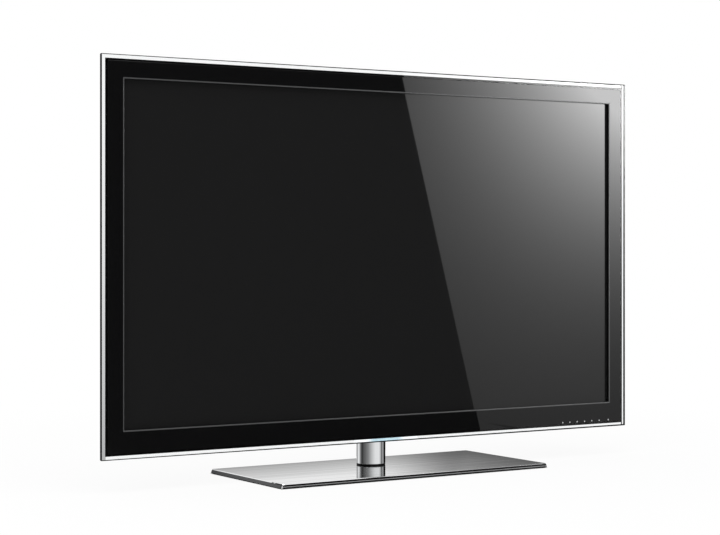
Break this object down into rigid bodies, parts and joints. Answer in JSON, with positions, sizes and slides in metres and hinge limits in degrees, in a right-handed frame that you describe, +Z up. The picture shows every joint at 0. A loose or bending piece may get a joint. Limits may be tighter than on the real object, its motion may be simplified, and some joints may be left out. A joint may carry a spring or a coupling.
{
  "type": "flat screen television",
  "caption": "Slim flat screen television with a clear-edged black bezel on a chrome neck that swivels over a flat brushed metal base.",
  "frame": {"origin": "middle of the base on the floor", "axes": "+X to the right seen from the front, +Y to the back, +Z up"},
  "size_m": [1.099, 0.254, 0.71],
  "materials": {
    "gloss_black": "polished moulded plastic",
    "clear_acrylic": "polished clear acrylic",
    "screen_glass": "glossy dark glass",
    "zinc_steel": "zinc-coated sheet",
    "white_plastic": "satin moulded plastic",
    "clear_film": "optical film",
    "circuit_board": "solder resist",
    "power_circuit": "bare laminate",
    "alloy": "extruded",
    "brass": "turned",
    "dark_screw": "black zinc",
    "ribbon": "flat cable",
    "wire": "wire covering",
    "black_plastic": "fine-grained moulded plastic",
    "speaker_cone": "treated cone",
    "socket_shell": "plated shell",
    "black_steel": "black powder coat",
    "chrome": "polished plating",
    "bearing": "acetal",
    "steel": "turned steel",
    "brushed_base": "brushed along its length, clear coat",
    "raw_steel": "phosphate-coated plate",
    "rubber": "moulded rubber"
  },
  "bodies": {
    "base": {"base_cover": "brushed_base", "base_ballast": "raw_steel", "base_feet": "rubber", "spindle": "steel", "spindle_screws": "dark_screw", "swivel_ring": "black_plastic", "retaining_washer": "steel", "lock_nut": "steel", "stop_pin": "steel"},
    "set": {"front_bezel": "gloss_black", "crystal_edge": "clear_acrylic", "lcd_glass": "screen_glass", "light_pipe": "clear_acrylic", "panel_front_frame": "zinc_steel", "mid_frame": "white_plastic", "brightness_film": "clear_film", "prism_sheet": "clear_film", "diffuser_sheet": "clear_film", "light_guide_plate": "clear_film", "reflector_sheet": "white_plastic", "led_bars": "circuit_board", "heat_bars": "alloy", "rear_chassis": "zinc_steel", "bezel_screws": "dark_screw", "touch_board": "circuit_board", "indicator_board": "circuit_board", "main_board": "circuit_board", "power_board": "power_circuit", "timing_board": "circuit_board", "source_boards": "circuit_board", "board_standoffs": "brass", "board_screws": "dark_screw", "picture_ribbon": "ribbon", "source_ribbons": "ribbon", "power_harness": "wire", "speaker_left": "black_plastic", "speaker_right": "black_plastic", "speaker_drivers": "speaker_cone", "rear_cover": "black_plastic", "vent_grilles": "black_steel", "speaker_grilles": "black_steel", "cover_screws": "dark_screw", "wall_mount_bushes": "brass", "jack_tray": "black_plastic", "hdmi_sockets": "socket_shell", "usb_sockets": "socket_shell", "lan_socket": "black_plastic", "optical_socket": "black_plastic", "audio_jacks": "black_plastic", "antenna_socket": "socket_shell", "inlet_tray": "black_plastic", "mains_inlet": "black_plastic", "stand_mount": "zinc_steel", "stand_bracket": "black_steel", "stand_screws": "dark_screw", "neck_screws": "dark_screw", "neck_tube": "chrome", "lower_bush": "bearing", "upper_bush": "bearing"}
  },
  "joints": [
    {"name": "swivel", "type": "hinge", "parent": "base", "child": "set", "pos_m": [0, 0.0338, 0], "axis": [0, 0, 1], "range_deg": [-20, 20]}
  ]
}
